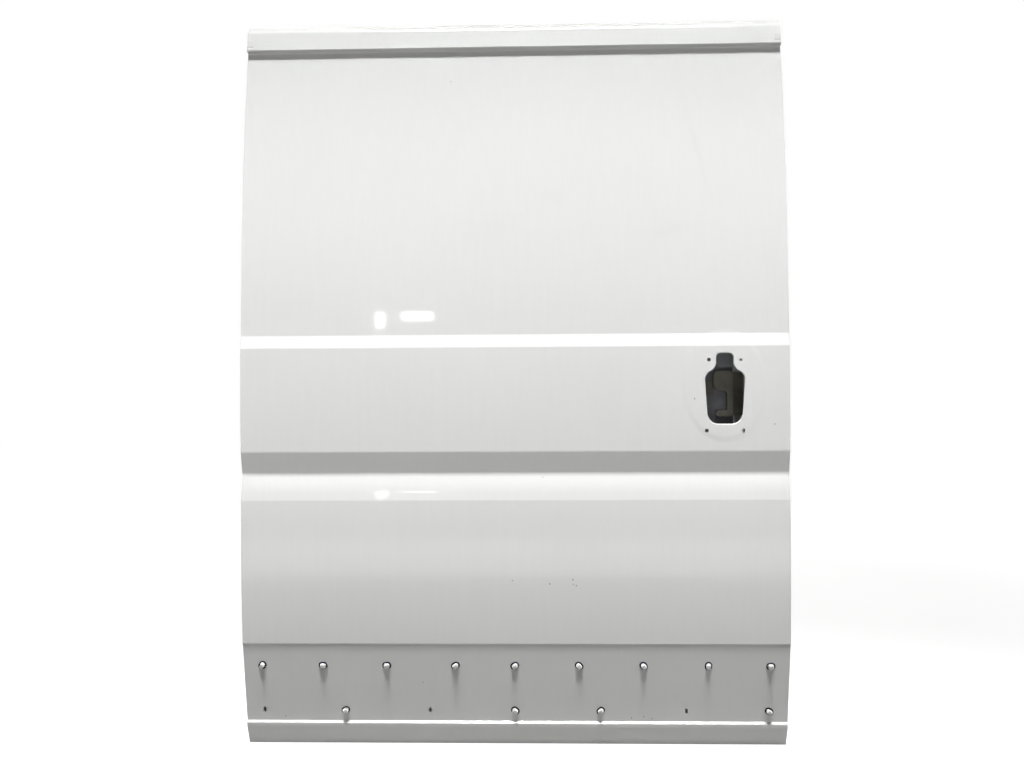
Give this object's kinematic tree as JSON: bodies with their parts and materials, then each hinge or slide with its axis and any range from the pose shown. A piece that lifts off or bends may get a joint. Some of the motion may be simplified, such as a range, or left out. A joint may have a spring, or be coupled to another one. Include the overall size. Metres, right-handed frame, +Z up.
{
  "type": "windowless side door of a panel van",
  "caption": "Sliding side door shell of a panel van, without window, handle or trim: ribbed white outer skin, welded inner frame, handle cut-out and rows of trim clips",
  "frame": {"origin": "centre of the flat seat of the middle roller arm, on the inside at the rear edge", "axes": "+X towards the front edge of the door, +Y inwards, +Z up"},
  "size_m": [1.31, 0.1359, 1.766],
  "materials": {
    "white_paint": "gloss white body paint",
    "inner_paint": "thinner, duller white paint",
    "grey_primer": "satin blue-grey primer",
    "olive_primer": "satin olive primer",
    "zinc_steel": "zinc-coated sheet",
    "mastic": "matt black mastic",
    "seal_rubber": "matt blue-black rubber",
    "clip_plastic": "moulded white plastic"
  },
  "bodies": {
    "root": {"outer_skin": "white_paint", "handle_reinforcement": "zinc_steel", "front_post": "inner_paint", "rear_post": "inner_paint", "top_rail": "inner_paint", "bottom_rail": "inner_paint", "waist_panel": "grey_primer", "rear_access_panel": "inner_paint", "middle_access_panel": "inner_paint", "front_access_panel": "inner_paint", "lock_mounting_plate": "olive_primer", "lower_cross_brace": "inner_paint", "upper_cross_brace": "inner_paint", "brace_pads": "mastic", "side_impact_beam": "zinc_steel", "beam_bracket_front": "zinc_steel", "beam_bracket_rear": "zinc_steel", "beam_pads": "mastic", "damping_sheets": "mastic", "front_latch_plate": "zinc_steel", "rear_latch_plate": "zinc_steel", "upper_roller_plate": "zinc_steel", "lower_roller_plate": "zinc_steel", "middle_roller_seat": "zinc_steel", "upper_roller_nuts": "zinc_steel", "lower_roller_nuts": "zinc_steel", "middle_roller_nuts": "zinc_steel", "upper_trim_clips": "clip_plastic", "lower_trim_clips": "clip_plastic", "upper_clip_seals": "seal_rubber", "lower_clip_seals": "seal_rubber"}
  },
  "joints": []
}
